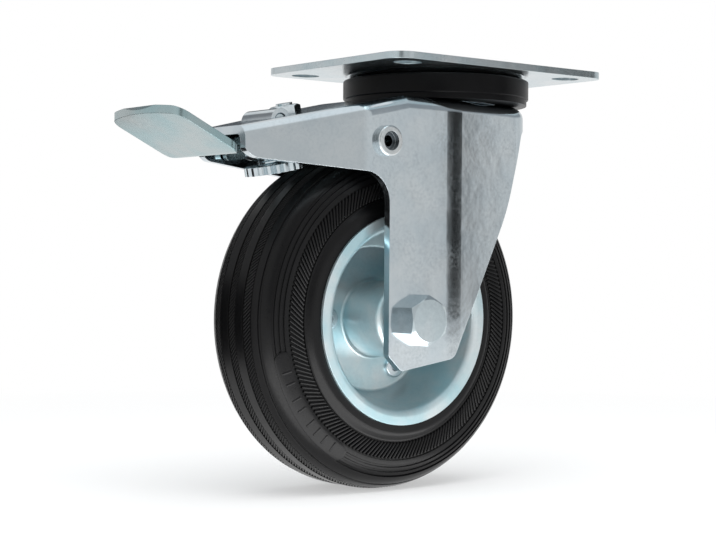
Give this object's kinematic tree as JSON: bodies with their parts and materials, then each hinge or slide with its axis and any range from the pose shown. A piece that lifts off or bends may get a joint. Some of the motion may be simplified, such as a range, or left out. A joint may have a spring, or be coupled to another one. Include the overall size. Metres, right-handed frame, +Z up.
{
  "type": "swivel castor with total lock",
  "caption": "Plate-mounted swivel castor with a solid rubber tyre on a pressed steel wheel and a trailing pedal that locks wheel and swivel together.",
  "frame": {"origin": "centre of the mounting plate's upper face, on the swivel axis", "axes": "+Z up, out of the mounting face; the wheel trails towards -X and its axle lies along Y; the axle bolt head is on the -Y side"},
  "size_m": [0.1856, 0.0804, 0.157],
  "materials": {
    "zinc_plate": "bright zinc plating",
    "zinc_fork": "bright zinc plating with a blue cast",
    "zinc_rim": "bright zinc plating with a blue-green cast",
    "ball_steel": "polished bearing steel",
    "spring_steel": "hardened spring strip",
    "black_plastic": "moulded, satin",
    "grey_plastic": "moulded, satin",
    "black_rubber": "solid rubber, satin"
  },
  "bodies": {
    "plate": {"top_plate": "zinc_plate", "kingpin": "zinc_plate", "kingpin_nut": "zinc_plate", "lower_cup": "zinc_plate", "lock_ring": "zinc_plate"},
    "fork": {"fork": "zinc_fork", "dust_ring": "black_plastic", "pivot_rivets": "zinc_plate", "axle_bolt": "zinc_plate", "axle_washer": "zinc_plate", "axle_nut": "zinc_plate", "axle_sleeve": "ball_steel", "return_spring": "spring_steel", "spring_bolt": "zinc_plate", "spring_nut": "zinc_plate"},
    "wheel": {"tyre": "black_rubber", "rim_near": "zinc_rim", "rim_far": "zinc_rim", "rim_rivets": "zinc_plate", "hub_tube": "zinc_rim", "hub_seals": "grey_plastic"},
    "roller_set": {"roller_cage": "grey_plastic", "rollers": "ball_steel"},
    "upper_race": {"upper_balls": "ball_steel"},
    "lower_race": {"lower_balls": "ball_steel"},
    "pedal": {"pedal": "zinc_plate", "pedal_pin": "zinc_plate"},
    "brake": {"brake_lever": "zinc_plate", "adjusting_screw": "zinc_plate", "screw_lock_nut": "zinc_plate"}
  },
  "joints": [
    {"name": "swivel", "type": "hinge", "parent": "plate", "child": "fork", "pos_m": [0, 0, 0], "axis": [0, 0, 1], "continuous": true},
    {"name": "upper_orbit", "type": "hinge", "parent": "plate", "child": "upper_race", "pos_m": [0, 0, 0], "axis": [0, 0, 1], "continuous": true},
    {"name": "lower_orbit", "type": "hinge", "parent": "plate", "child": "lower_race", "pos_m": [0, 0, 0], "axis": [0, 0, 1], "continuous": true},
    {"name": "wheel_spin", "type": "hinge", "parent": "fork", "child": "wheel", "pos_m": [-0.032, 0, -0.0945], "axis": [0, 1, 0], "continuous": true},
    {"name": "roller_orbit", "type": "hinge", "parent": "fork", "child": "roller_set", "pos_m": [-0.032, 0, -0.0945], "axis": [0, 1, 0], "continuous": true},
    {"name": "pedal_press", "type": "hinge", "parent": "fork", "child": "pedal", "pos_m": [-0.08024, 0, -0.02419], "axis": [0, -1, 0], "range_deg": [0, 25]},
    {"name": "brake_swing", "type": "hinge", "parent": "fork", "child": "brake", "pos_m": [-0.0474, 0, -0.0308], "axis": [0, -1, 0], "range_deg": [0, 5.1]}
  ],
  "couplings": [
    {"joint": "upper_orbit", "follows": "swivel", "ratio": 0.5},
    {"joint": "lower_orbit", "follows": "swivel", "ratio": 0.5},
    {"joint": "roller_orbit", "follows": "wheel_spin", "ratio": 0.6},
    {"joint": "brake_swing", "follows": "pedal_press", "ratio": 0.204}
  ]
}
